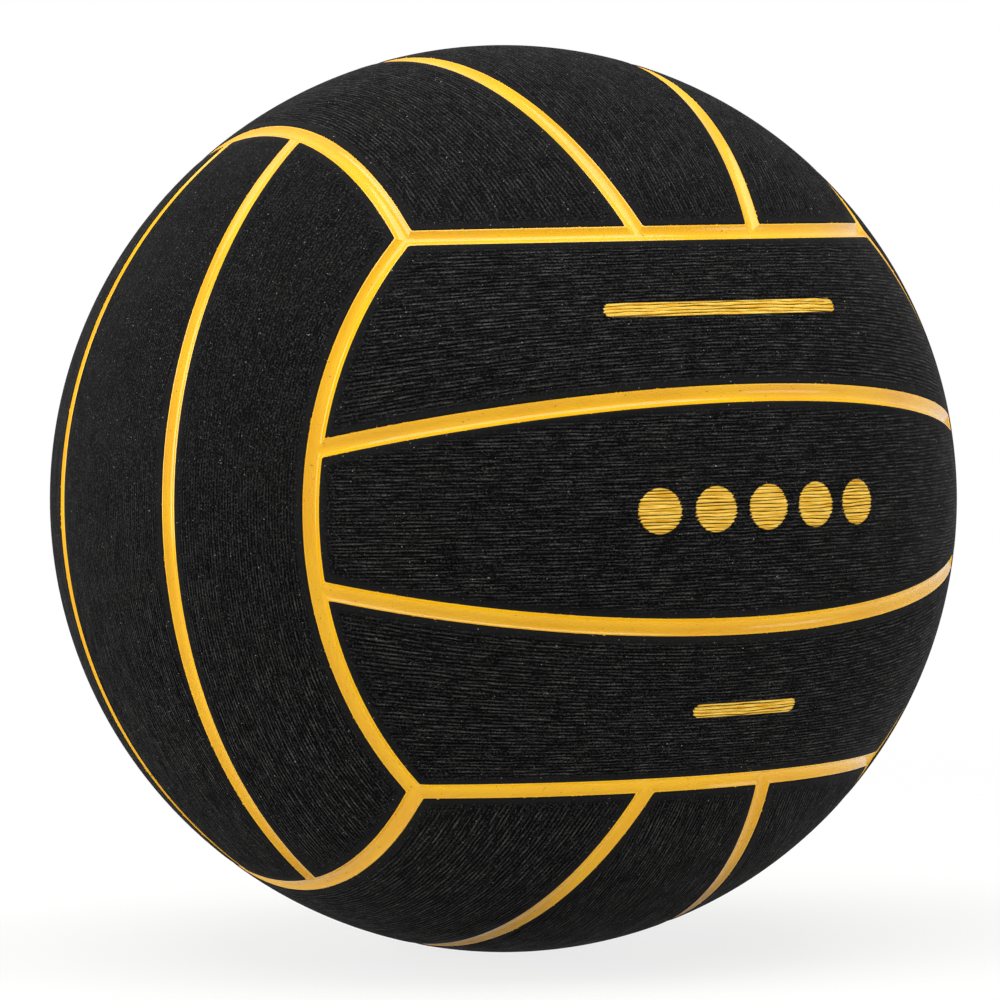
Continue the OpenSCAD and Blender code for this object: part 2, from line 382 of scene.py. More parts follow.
class NodeBuilder:
    """Adds nodes to one tree and links them."""

    def __init__(self, tree: bpy.types.NodeTree) -> None:
        """Keeps the tree that the nodes go into."""
        self.tree = tree

    def add(self, kind: str, **settings: str | bool) -> bpy.types.Node:
        """Adds a node.

        Args:
            kind: The node's type.
            **settings: The properties that are set on it.

        Returns:
            The new node.
        """
        node = self.tree.nodes.new(kind)
        for name, value in settings.items():
            setattr(node, name, value)
        return node

    def feed(self, socket: Socket, value: Value) -> None:
        """Links a socket to another one, or sets its value.

        Args:
            socket: The input socket.
            value: An output socket, or the value itself.
        """
        if isinstance(value, bpy.types.NodeSocket):
            self.tree.links.new(value, socket)
        else:
            socket.default_value = value

    def chain(self, kind: str, operation: str, values: Sequence[Value]) -> Socket:
        """Adds a node with an operation and feeds its inputs in order.

        Args:
            kind: The node's type.
            operation: What the node works out.
            values: The values of its inputs.

        Returns:
            The node's first output.
        """
        node = self.add(kind, operation=operation)
        for socket, value in zip(node.inputs, values):
            self.feed(socket, value)
        return node.outputs[0]

    def math(self, operation: str, *values: Value) -> Socket:
        """Adds a Math node and returns its output."""
        return self.chain("ShaderNodeMath", operation, values)

    def vector(self, operation: str, *values: Value) -> Socket:
        """Adds a Vector Math node and returns its vector output."""
        return self.chain("ShaderNodeVectorMath", operation, values)

    def scale(self, vector: Value, factor: Value) -> Socket:
        """Scales a vector.

        Args:
            vector: The vector.
            factor: What it is multiplied by.

        Returns:
            The scaled vector.
        """
        node = self.add("ShaderNodeVectorMath", operation="SCALE")
        self.feed(node.inputs["Vector"], vector)
        self.feed(node.inputs["Scale"], factor)
        return node.outputs["Vector"]

    def parts(self, vector: Value) -> tuple[Socket, Socket, Socket]:
        """Splits a vector into its three coordinates.

        Args:
            vector: The vector.

        Returns:
            Its x, y and z.
        """
        node = self.add("ShaderNodeSeparateXYZ")
        self.feed(node.inputs[0], vector)
        return node.outputs[0], node.outputs[1], node.outputs[2]

    def ramp(self, value: Value, start: Value, end: Value, low: Value = 0.0, high: Value = 1.0) -> Socket:
        """Maps a value smoothly from one range onto another and holds it there.

        Args:
            value: The value.
            start: Where the ramp starts.
            end: Where it ends.
            low: The result up to the start.
            high: The result from the end on.

        Returns:
            The mapped value.
        """
        node = self.add("ShaderNodeMapRange", interpolation_type="SMOOTHSTEP")
        for socket, item in zip(node.inputs, (value, start, end, low, high)):
            self.feed(socket, item)
        return node.outputs[0]

    def mix(self, share: Value, first: Value, second: Value) -> Socket:
        """Mixes two colours.

        Args:
            share: The share of the second colour.
            first: The first colour.
            second: The second colour.

        Returns:
            The mixed colour.
        """
        node = self.add("ShaderNodeMix", data_type="RGBA")
        colours = [socket for socket in node.inputs if socket.type == "RGBA"]
        for socket, item in zip((node.inputs[0], *colours), (share, first, second)):
            self.feed(socket, item)
        return next(socket for socket in node.outputs if socket.type == "RGBA")

    def noise(self, place: Value, scale: float, detail: float = 2.0, seed: Value = 0.0) -> Socket:
        """Adds a seeded noise.

        Args:
            place: The coordinates of the noise.
            scale: Its scale.
            detail: Its detail.
            seed: Its seed.

        Returns:
            The noise, from 0 to 1.
        """
        return self.noise_node(place, scale, detail, seed).outputs[0]

    def noise_node(self, place: Value, scale: float, detail: float, seed: Value) -> bpy.types.Node:
        """Adds the node of a seeded noise.

        Args:
            place: The coordinates of the noise.
            scale: Its scale.
            detail: Its detail.
            seed: Its seed.

        Returns:
            The node, with a number and a colour as its outputs.
        """
        node = self.add("ShaderNodeTexNoise", noise_dimensions="4D")
        self.feed(node.inputs["Vector"], place)
        self.feed(node.inputs["W"], seed)
        node.inputs["Scale"].default_value = scale
        node.inputs["Detail"].default_value = detail
        return node

    def joined(self, x: Value, y: Value) -> Socket:
        """Joins two coordinates into a vector with a third one of zero.

        Args:
            x: The first coordinate.
            y: The second coordinate.

        Returns:
            The vector.
        """
        node = self.add("ShaderNodeCombineXYZ")
        self.feed(node.inputs[0], x)
        self.feed(node.inputs[1], y)
        return node.outputs[0]

    def off_crest(self, turn: Socket) -> Socket:
        """How far a place lies from the nearest crest, as a share of the pitch, from its count of ribs."""
        return self.math("ABSOLUTE", self.math("SUBTRACT", self.math("FRACT", turn), 0.5))

    def attribute(self, name: str) -> Socket:
        """Reads an attribute of the mesh in a material."""
        return self.add("ShaderNodeAttribute", attribute_name=name).outputs["Fac"]


class SurfaceTree:
    """A Geometry Nodes tree that shapes the surface of a piece by moving its points."""

    def __init__(self, name: str, sizes: dict[str, float]) -> None:
        """Makes the tree with its named inputs.

        Args:
            name: The name of the tree.
            sizes: The named inputs for the sizes, with their values.
        """
        self.tree = bpy.data.node_groups.new(name, "GeometryNodeTree")
        self.sizes = sizes
        face = self.tree.interface
        face.new_socket("Geometry", in_out="INPUT", socket_type="NodeSocketGeometry")
        for size in sizes:
            face.new_socket(size, in_out="INPUT", socket_type="NodeSocketFloat")
        face.new_socket("Finish", in_out="INPUT", socket_type="NodeSocketMaterial")
        face.new_socket("Geometry", in_out="OUTPUT", socket_type="NodeSocketGeometry")
        self.nodes = NodeBuilder(self.tree)
        self.entry = self.nodes.add("NodeGroupInput")
        self.build()

    def build(self) -> None:
        """Adds the nodes between the input and the output."""
        raise NotImplementedError

    def attribute(self, name: str) -> Socket:
        """Reads a float attribute of the points.

        Args:
            name: The name of the attribute.

        Returns:
            Its value at each point.
        """
        node = self.nodes.add("GeometryNodeInputNamedAttribute", data_type="FLOAT")
        node.inputs["Name"].default_value = name
        return node.outputs["Attribute"]

    def wander(self, place: Value) -> Socket:
        """A seeded random vector around zero that changes slowly from place to place.

        Args:
            place: The coordinates of the noise.

        Returns:
            The random vector.
        """
        noise = self.nodes.noise_node(place, 1.0, 1.0, self.entry.outputs["Seed"])
        return self.nodes.vector("SUBTRACT", noise.outputs["Color"], (0.5, 0.5, 0.5))

    def moved(self, offset: Value) -> Socket:
        """Moves the points of the piece.

        Args:
            offset: How far each point moves.

        Returns:
            The moved geometry.
        """
        node = self.nodes.add("GeometryNodeSetPosition")
        self.nodes.feed(node.inputs["Geometry"], self.entry.outputs["Geometry"])
        self.nodes.feed(node.inputs["Offset"], offset)
        return node.outputs[0]

    def close(self, geometry: Socket) -> None:
        """Ends the tree in Realize Instances and Set Material.

        Args:
            geometry: The shaped geometry.
        """
        whole = self.nodes.add("GeometryNodeRealizeInstances")
        self.nodes.feed(whole.inputs[0], geometry)
        dressed = self.nodes.add("GeometryNodeSetMaterial")
        self.nodes.feed(dressed.inputs["Geometry"], whole.outputs[0])
        self.nodes.feed(dressed.inputs["Material"], self.entry.outputs["Finish"])
        leave = self.nodes.add("NodeGroupOutput")
        self.nodes.feed(leave.inputs[0], dressed.outputs[0])

    def shape(self, piece: bpy.types.Object, finish: bpy.types.Material, seed: float) -> None:
        """Shapes a piece and leaves it as a plain mesh.

        Args:
            piece: The object whose mesh is shaped.
            finish: The material that the tree sets.
            seed: The seed for the random parts.
        """
        modifier = piece.modifiers.new(self.tree.name, "NODES")
        modifier.node_group = self.tree
        values = {**self.sizes, "Seed": seed, "Finish": finish}
        for item in self.tree.interface.items_tree:
            if item.in_out == "INPUT" and item.name in values:
                modifier[item.identifier] = values[item.name]
        plain_mesh(piece)


# Scales of the noise by which the ribs fade and of that by which they wander, per rib and per metre
FADING_SCALES = (0.45, 55.0, 0.0)
WANDER_SCALES = (0.8, 120.0, 0.0)
# Noise values between which a faded rib rises to its full depth
FADING_RANGE = (-0.2, 0.12)


class RibTree(SurfaceTree):
    """Presses fine grooves between the ribs of a panel and lets them wander and fade a little."""

    def build(self) -> None:
        """Adds the groove profile, its fading and the wander."""
        nodes = self.nodes
        sizes = self.entry.outputs
        turn = self.attribute("rib_turn")
        mask = self.attribute("rib_mask")
        place = nodes.joined(turn, self.attribute("rib_along"))
        apart = nodes.math("SUBTRACT", 0.5, nodes.off_crest(turn))
        crest = nodes.ramp(apart, 0.0, sizes["Groove Share"])
        fading = nodes.parts(self.wander(nodes.vector("MULTIPLY", place, FADING_SCALES)))[0]
        strength = nodes.ramp(fading, *FADING_RANGE, sizes["Least Depth"], 1.0)
        share = nodes.math("MULTIPLY", mask, strength)
        groove = nodes.math("MULTIPLY", nodes.math("SUBTRACT", 1.0, crest), share)
        sunk = nodes.math("MULTIPLY", groove, sizes["Depth"])
        radial = nodes.vector("NORMALIZE", nodes.add("GeometryNodeInputPosition").outputs[0])
        inward = nodes.scale(radial, nodes.math("MULTIPLY", sunk, -1.0))
        wander = self.wander(nodes.vector("MULTIPLY", place, WANDER_SCALES))
        reach = nodes.math("MULTIPLY", mask, sizes["Wander"])
        sideways = nodes.scale(nodes.vector("CROSS_PRODUCT", radial, wander), reach)
        # The groove share is kept for the material, which paints shade into the grooves.
        kept = nodes.add("GeometryNodeStoreNamedAttribute", data_type="FLOAT", domain="POINT")
        kept.inputs["Name"].default_value = "groove"
        nodes.feed(kept.inputs["Geometry"], self.moved(nodes.vector("ADD", inward, sideways)))
        nodes.feed(kept.inputs["Value"], groove)
        self.close(kept.outputs["Geometry"])


class ChannelTree(SurfaceTree):
    """Hollows a strip's top into its channel, also where an inner channel runs in."""

    def hollow(self, offset: Socket) -> Socket:
        """The depth of a round channel.

        Args:
            offset: The distance from the channel's middle line.

        Returns:
            The depth, which is negative outside the channel.
        """
        nodes = self.nodes
        radius = self.entry.outputs["Channel Radius"]
        square = nodes.math("SUBTRACT", nodes.math("MULTIPLY", radius, radius),
                            nodes.math("MULTIPLY", offset, offset))
        arc = nodes.math("SQRT", nodes.math("MAXIMUM", square, 0.0))
        rest = nodes.math("SUBTRACT", radius, self.entry.outputs["Channel Depth"])
        return nodes.math("SUBTRACT", arc, rest)

    def build(self) -> None:
        """Adds the channel profile and the slight unevenness of its floor."""
        nodes = self.nodes
        sizes = self.entry.outputs
        both = nodes.math("SMOOTH_MAX", self.hollow(self.attribute("across")),
                          self.hollow(self.attribute("mouth")), sizes["Blend"])
        depth = nodes.math("SMOOTH_MAX", both, sizes["Lip Depth"], sizes["Rounding"])
        place = nodes.add("GeometryNodeInputPosition").outputs[0]
        drift = nodes.parts(self.wander(nodes.scale(place, sizes["Wander Scale"])))[0]
        uneven = nodes.math("MULTIPLY", drift, sizes["Wander"])
        whole = nodes.math("MULTIPLY", nodes.math("ADD", depth, uneven), self.attribute("top"))
        inward = nodes.math("MULTIPLY", whole, -1.0)
        self.close(self.moved(nodes.scale(nodes.vector("NORMALIZE", place), inward)))


# Finishes


@dataclass(frozen=True)
class Speckle:
    """A seeded noise, and the range of it that rises from a low share to a high one.

    The stretch scales the coordinates along each axis before the noise.
    """

    scale: float
    start: float = 0.0
    end: float = 1.0
    seed: float = 0.0
    detail: float = 2.0
    low: float = 0.0
    high: float = 1.0
    stretch: tuple[float, float, float] | None = None

    def noise(self, nodes: NodeBuilder, place: Socket) -> Socket:
        """The bare noise.

        Args:
            nodes: The nodes of the material.
            place: The coordinates.

        Returns:
            The noise, from 0 to 1.
        """
        if self.stretch:
            place = nodes.vector("MULTIPLY", place, self.stretch)
        return nodes.noise(place, self.scale, self.detail, self.seed)

    def share(self, nodes: NodeBuilder, place: Socket) -> Socket:
        """The share that the noise gives.

        Args:
            nodes: The nodes of the material.
            place: The coordinates.

        Returns:
            The share, between the low and the high one.
        """
        return nodes.ramp(self.noise(nodes, place), self.start, self.end, self.low, self.high)


# Noise values over which a rubber's second tone and its rougher places set in
TONE_RANGE = (0.35, 0.7)
GLOSS_RANGE = (0.3, 0.7)
# How much finer the noise of the gloss is than that of the tones
GLOSS_FINENESS = 4


@dataclass(frozen=True)
class Rubber:
    """A rubber with two tones, grain and a slightly uneven gloss."""

    name: str
    tone: str
    second_tone: str
    roughness: float
    specular: float = 0.5
    tone_scale: float = 40.0
    grain_scale: float = 1500.0
    grain_detail: float = 3.0
    grain_depth: float = 0.03 * MM
    gloss_spread: float = 0.06
    coat: float = 0.0
    coat_roughness: float = 0.15

    def surface(self, nodes: NodeBuilder, place: Socket) -> Socket:
        """The colour of the rubber.

        Args:
            nodes: The nodes of the material.
            place: The coordinates on the object.

        Returns:
            The colour, in two tones.
        """
        share = Speckle(self.tone_scale, *TONE_RANGE).share(nodes, place)
        return nodes.mix(share, linear(self.tone), linear(self.second_tone))

    def material(self) -> bpy.types.Material:
        """Makes the material.

        Returns:
            The material, with its colour, roughness and bump from nodes.
        """
        made = bpy.data.materials.new(self.name)
        made.use_nodes = True
        nodes = NodeBuilder(made.node_tree)
        shader = made.node_tree.nodes["Principled BSDF"]
        place = nodes.add("ShaderNodeTexCoord").outputs["Object"]
        low, high = self.roughness - self.gloss_spread, self.roughness + self.gloss_spread
        fineness = self.tone_scale * GLOSS_FINENESS
        gloss = Speckle(fineness, *GLOSS_RANGE, seed=3.0, detail=3.0, low=low, high=high)
        nodes.feed(shader.inputs["Base Color"], self.surface(nodes, place))
        nodes.feed(shader.inputs["Roughness"], gloss.share(nodes, place))
        shader.inputs["Specular IOR Level"].default_value = self.specular
        shader.inputs["Coat Weight"].default_value = self.coat
        shader.inputs["Coat Roughness"].default_value = self.coat_roughness
        bump = nodes.add("ShaderNodeBump")
        bump.inputs["Distance"].default_value = self.grain_depth
        nodes.feed(bump.inputs["Height"], nodes.noise(place, self.grain_scale, self.grain_detail))
        nodes.feed(shader.inputs["Normal"], bump.outputs[0])
        return made


# Blur of a mark's edge to each side, and the most that its ends are smeared along the ribs
MARK_BLUR = 0.1 * MM
MARK_SMEAR = 3 * MM


class MarkShape(Enum):
    """The shape of a plain printed mark."""

    BAR = "bar"
    DOTS = "dots"


@dataclass(frozen=True)
class Mark:
    """One plain printed mark on the front group, with its place, its length and its half width."""

    shape: MarkShape
    height: float
    centre: float
    length: float
    radius: float
    spacing: float = 14 * MM

    def nearest(self, nodes: NodeBuilder, along: Socket) -> Socket:
        """The place on the mark's middle line that is nearest.

        Args:
            nodes: The nodes of the material.
            along: A place along the mark.

        Returns:
            The place itself on a bar, or that of the nearest dot.
        """
        if self.shape is MarkShape.BAR:
            return along
        count = nodes.math("ROUND", nodes.math("DIVIDE", along, self.spacing))
        return nodes.math("MULTIPLY", count, self.spacing)

    def ink(self, nodes: NodeBuilder, east: Socket, north: Socket) -> Socket:
        """The share of ink from this mark.

        Args:
            nodes: The nodes of the material.
            east: The place round the ball, in metres.
            north: The height over the ball's middle along its surface, in metres.

        Returns:
            The share, from 0 to 1.
        """
        along = nodes.math("SUBTRACT", east, self.centre - self.length / 2)
        held = nodes.math("MINIMUM", nodes.math("MAXIMUM", self.nearest(nodes, along), 0.0), self.length)
        off = nodes.math("SUBTRACT", along, held)
        rise = nodes.math("SUBTRACT", north, self.height)
        square = nodes.math("ADD", nodes.math("MULTIPLY", off, off), nodes.math("MULTIPLY", rise, rise))
        return nodes.ramp(nodes.math("SQRT", square), self.radius + MARK_BLUR, self.radius - MARK_BLUR)


# Worn grain and dust on the panels, and the breaks in their light crest lines, which are partly wear and
# partly a painted highlight
GRAIN = Speckle(2300.0, 0.48, 0.78, 5.0)
GRAIN_STRENGTH = 0.6
BREAKS = Speckle(2300.0, 0.36, 0.62, 15.0, low=0.1)
DUST = Speckle(1900.0, 0.73, 0.77, 9.0, 1.0)
DUST_STRENGTH = 0.7
# Width of the coloured rim, and the places where it is ragged
FRAY = Speckle(90.0, 0.4, 0.62, 27.0, 1.0, 0.05 * MM, 0.35 * MM)
RAGS = Speckle(1300.0, 0.45, 0.8, 11.0)
# Light lines along the ribs' crests, partly wear and partly a painted highlight, and the print's smear,
# brushing and gaps, stretched per rib and per metre
STREAKS = Speckle(1.0, 0.38, 0.66, 13.0, 3.0, stretch=(1.6, 200.0, 0.0))
SMEAR = Speckle(1.0, seed=17.0, detail=3.0, stretch=(1.9, 0.0, 0.0))
BRUSHING = Speckle(1.0, 0.35, 0.65, 19.0, 3.0, stretch=(2.1, 150.0, 0.0))
GAPS = Speckle(1.0, 0.35, 0.6, 23.0, 3.0, 0.2, 0.95, (1.3, 260.0, 0.0))
# Distances from the groove's wall over which the grain sets in, its share at the rim, and the wear there
GRAIN_RISE = (0.7 * MM, 3.0 * MM)
RIM_GRAIN = 0.15
RIM_WEAR = 0.18
# Offsets from the nearest crest, as shares of the pitch, over which a crest line of wear and painted
# highlight ends and a print gap begins
LINE_SPAN = (0.3, 0.04)
GAP_SPAN = (0.34, 0.44)


@dataclass(frozen=True)
class PanelRubber(Rubber):
    """The black rubber of the panels, with crests lightened by rubbing and a painted highlight, painted
    shade in the grooves, dust and a coloured rim.
    """

    # The groove tone is painted shade in the grooves between the ribs.
    painted_groove_shade_tone: str = "#020202"
    # The worn tone serves worn grain and the crest lines, which are partly a painted highlight.
    worn_and_highlight_tone: str = "#504f4e"
    dust_tone: str = "#a8a49a"
    rim_tone: str = "#e3a80c"
    print_tone: str = "#dca01c"
    bright_print_tone: str = "#ffd766"
    rim_blur: float = 0.06 * MM
    marks: tuple[Mark, ...] = ()

    def ribs(self, nodes: NodeBuilder) -> Socket:
        """The place among the ribs, counted in ribs and in metres along them."""
        return nodes.joined(nodes.attribute("rib_turn"), nodes.attribute("rib_along"))

    def ink(self, nodes: NodeBuilder, place: Socket) -> Socket:
        """The share of printed ink on the front group.

        Args:
            nodes: The nodes of the material.
            place: The coordinates on the object.

        Returns:
            The share, from 0 to 1.
        """
        x, y, z = nodes.parts(place)
        turn = nodes.math("ARCTAN2", x, nodes.math("MULTIPLY", y, -1.0))
        rise = nodes.math("ARCSINE", nodes.math("DIVIDE", z, BALL_RADIUS))
        drift = nodes.math("SUBTRACT", SMEAR.noise(nodes, self.ribs(nodes)), 0.5)
        smear = nodes.math("MULTIPLY", drift, MARK_SMEAR)
        east = nodes.math("ADD", nodes.math("MULTIPLY", turn, BALL_RADIUS), smear)
        north = nodes.math("MULTIPLY", rise, BALL_RADIUS)
        total: Value = 0.0
        for mark in self.marks:
            total = nodes.math("MAXIMUM", total, mark.ink(nodes, east, north))
        return total

    def streaks(self, nodes: NodeBuilder) -> Socket:
        """The share of light lines along the crests of the ribs, partly wear and partly a painted highlight.

        Args:
            nodes: The nodes of the material.

        Returns:
            The share, from 0 to 1.
        """
        crest = nodes.ramp(nodes.off_crest(nodes.attribute("rib_turn")), *LINE_SPAN)
        lines = nodes.math("MULTIPLY", crest, STREAKS.share(nodes, self.ribs(nodes)))
        return nodes.math("MULTIPLY", lines, nodes.attribute("rib_mask"))

    def printed(self, nodes: NodeBuilder, place: Socket, under: Socket) -> Socket:
        """Prints the marks, brushed along the ribs and broken in their valleys.

        Args:
            nodes: The nodes of the material.
            place: The coordinates on the object.
            under: The colour under the print.

        Returns:
            The colour with the marks on it.
        """
        ribs = self.ribs(nodes)
        bright = BRUSHING.share(nodes, ribs)
        tone = nodes.mix(bright, linear(self.print_tone), linear(self.bright_print_tone))
        valley = nodes.ramp(nodes.off_crest(nodes.attribute("rib_turn")), *GAP_SPAN)
        missed = nodes.math("MULTIPLY", valley, GAPS.share(nodes, ribs))
        inked = nodes.math("MULTIPLY", self.ink(nodes, place), nodes.math("SUBTRACT", 1.0, missed))
        return nodes.mix(inked, under, tone)

    def surface(self, nodes: NodeBuilder, place: Socket) -> Socket:
        """The colour of a panel.

        Args:
            nodes: The nodes of the material.
            place: The coordinates on the object.

        Returns:
            Black with worn grain, crests lightened by wear and a painted highlight, grooves darkened with
            painted shade, dust, and yellow at the very rim.
        """
        rim = nodes.attribute("rim")
        inner = nodes.ramp(rim, *GRAIN_RISE, RIM_GRAIN, 1.0)
        grain = nodes.math("MULTIPLY", GRAIN.share(nodes, place), inner)
        grain = nodes.math("ADD", grain, nodes.ramp(rim, *GRAIN_RISE, RIM_WEAR, 0.0))
        # The crest lines are partly wear and partly a painted highlight on the crests.
        lines = nodes.math("MULTIPLY", self.streaks(nodes), BREAKS.share(nodes, place))
        share = nodes.math("MAXIMUM", nodes.math("MULTIPLY", grain, GRAIN_STRENGTH), lines)
        worn_and_highlighted = nodes.mix(share, super().surface(nodes, place), linear(self.worn_and_highlight_tone))
        dust = nodes.math("MULTIPLY", DUST.share(nodes, place), DUST_STRENGTH)
        dusty = nodes.mix(dust, worn_and_highlighted, linear(self.dust_tone))
        if self.marks:
            dusty = self.printed(nodes, place, dusty)
        # Painted shade: the grooves between the ribs are darkened towards the groove tone.
        sunk = nodes.mix(nodes.attribute("groove"), dusty, linear(self.painted_groove_shade_tone))
        ragged = nodes.math("MULTIPLY", RAGS.share(nodes, place), FRAY.share(nodes, place))
        coloured = nodes.ramp(rim, nodes.math("ADD", ragged, self.rim_blur), ragged)
        return nodes.mix(coloured, sunk, linear(self.rim_tone))


PITS = Speckle(1500.0, 0.66, 0.74, 4.0)


@dataclass(frozen=True)
class StripRubber(Rubber):
    """The yellow rubber of the strips, with small dark pits."""

    pit_tone: str = "#6b4a12"
    pit_strength: float = 0.7

    def surface(self, nodes: NodeBuilder, place: Socket) -> Socket:
        """The colour of a strip.

        Args:
            nodes: The nodes of the material.
            place: The coordinates on the object.

        Returns:
            Yellow in two tones with sparse dark specks.
        """
        pits = nodes.math("MULTIPLY", PITS.share(nodes, place), self.pit_strength)
        return nodes.mix(pits, super().surface(nodes, place), linear(self.pit_tone))


BLACK_RUBBER = PanelRubber("black_panel_rubber", "#030304", "#070707", 0.7, 0.03)
PRINTED_RUBBER = PanelRubber("printed_panel_rubber", "#030304", "#070707", 0.7, 0.03, marks=(
    Mark(MarkShape.BAR, 47.5 * MM, 2 * MM, 68 * MM, 1.7 * MM),
    Mark(MarkShape.DOTS, 0.5 * MM, 4 * MM, 56 * MM, 5.2 * MM),
    Mark(MarkShape.BAR, -47.5 * MM, 4 * MM, 28 * MM, 1.7 * MM),
))
YELLOW_RUBBER = StripRubber("yellow_strip_rubber", "#f2b900", "#ecad00", 0.17, 0.3,
                            grain_depth=0.012 * MM, coat=0.12)
CARCASS_RUBBER = Rubber("grey_carcass_rubber", "#4a4a4d", "#414144", 0.6)
WOUND_THREAD = Rubber("wound_thread", "#e4dfd2", "#d5cfbf", 0.8, 0.3, 300.0, 900.0, grain_depth=0.2 * MM)
BLADDER_RUBBER = Rubber("bladder_rubber", "#19191b", "#202022", 0.45)
VALVE_RUBBER = Rubber("valve_rubber", "#1b1b1d", "#242426", 0.42)
PLUG_RUBBER = Rubber("plug_rubber", "#3a3a3c", "#333335", 0.4)


# Panels


RIB_PITCH = 0.8 * MM
# Rows of points across one rib
RIB_STEPS = 6
RIB_TREE = {"Depth": 0.26 * MM, "Groove Share": 0.24, "Least Depth": 0.3, "Wander": 1.1 * MM, "Seed": 0.0}
LIP_WIDTH = 0.15 * MM
CHANNEL_HALF = GROOVE_WIDTH / 2 - LIP_WIDTH
CHANNEL_RISE = CHANNEL_DEPTH - LIP_DEPTH
CHANNEL_RADIUS = (CHANNEL_HALF ** 2 + CHANNEL_RISE ** 2) / (2 * CHANNEL_RISE)
CHANNEL_TREE = {
    "Channel Radius": CHANNEL_RADIUS,
    "Channel Depth": CHANNEL_DEPTH,
    "Lip Depth": LIP_DEPTH,
    "Rounding": 0.12 * MM,
    "Blend": 0.1 * MM,
    "Wander": 0.05 * MM,
    "Wander Scale": 250.0,
    "Seed": 0.0,
}
# Rim of a panel from its field outward: distance from the groove's wall and depth below the ball
RIM_SECTION = (
    (0.55 * MM, 0.02 * MM), (0.38 * MM, 0.06 * MM), (0.24 * MM, 0.13 * MM), (0.13 * MM, 0.22 * MM),
    (0.05 * MM, 0.34 * MM), (0.0, 0.5 * MM), (0.0, COVER_THICKNESS - SEAT_GAP),
)
CORNER_ROUNDING = 0.7 * MM
# Width over which the ribs fade beside a seam, and the power and the least distance of that fading
FADE = 1.8 * MM
FADE_POWER = 1.5
LEAST_DEPTH = 1e-6
# Least slope at which a seam is taken to cut a row
LEAST_SLOPE = 1e-9
# Last rows of a middle panel: their share of the length beside them, and the share of their inner part
END_ROW_SHARE = 0.96
END_INNER_SHARE = 0.97
# Least inner part of any other row, and the share of a step that is left free beside the last row
LEAST_INNER_SHARE = 0.6
SPARE_STEP = 0.25
# Finer columns round the valve: their number, their reach over its clear zone, and half the angle of a row
VALVE_COLUMNS = 61
VALVE_REACH = 1.25
VALVE_ROW_ANGLE = 0.93
# Rows that the coarser underside leaves free beside the last one
UNDERSIDE_MARGIN = 2
# Attribute values away from the ribbed field
UNRIBBED = {"rib_turn": 0.0, "rib_along": 0.0, "rib_mask": 0.0}


@dataclass(frozen=True)
class Row:
    """One row of a panel's field: a stretch of a circle and its place among the ribs."""

    circle: Circle
    half_angle: float
    inner_angle: float
    turn: float


@dataclass(frozen=True)
class Stretch:
    """The part of a seam's circle from one corner of a panel to the next."""

    circle: Circle
    corner: np.ndarray
    first: float
    last: float

    @property
    def length(self) -> float:
        """The length from corner to corner, in metres."""
        return abs(self.last - self.first) * math.cos(self.circle.latitude) * BALL_RADIUS

    def points(self, share: np.ndarray) -> np.ndarray:
        """Directions at shares of the way from the first corner."""
        return self.circle.points(self.first + (self.last - self.first) * share)

    def shares(self, points: np.ndarray) -> np.ndarray:
        """The shares of the way at which directions lie."""
        return (self.circle.angle(points) - self.first) / (self.last - self.first)

    def beside(self, end: int, distance: float) -> np.ndarray:
        """The direction at a distance from a corner.

        Args:
            end: 0 for the first corner and 1 for the last.
            distance: The distance along the seam.

        Returns:
            The direction.
        """
        share = abs(end - distance / self.length)
        return self.points(np.array([share]))[0]


def bend(first: np.ndarray, corner: np.ndarray, last: np.ndarray, share: np.ndarray | float) -> np.ndarray:
    """A curve that leaves and reaches the two sides of a corner along them.

    Args:
        first: The point where the curve leaves the first side.
        corner: The corner.
        last: The point where it reaches the second side.
        share: The share of the way along the curve.

    Returns:
        The point on the curve.
    """
    return (1 - share) ** 2 * first + 2 * share * (1 - share) * corner + share ** 2 * last


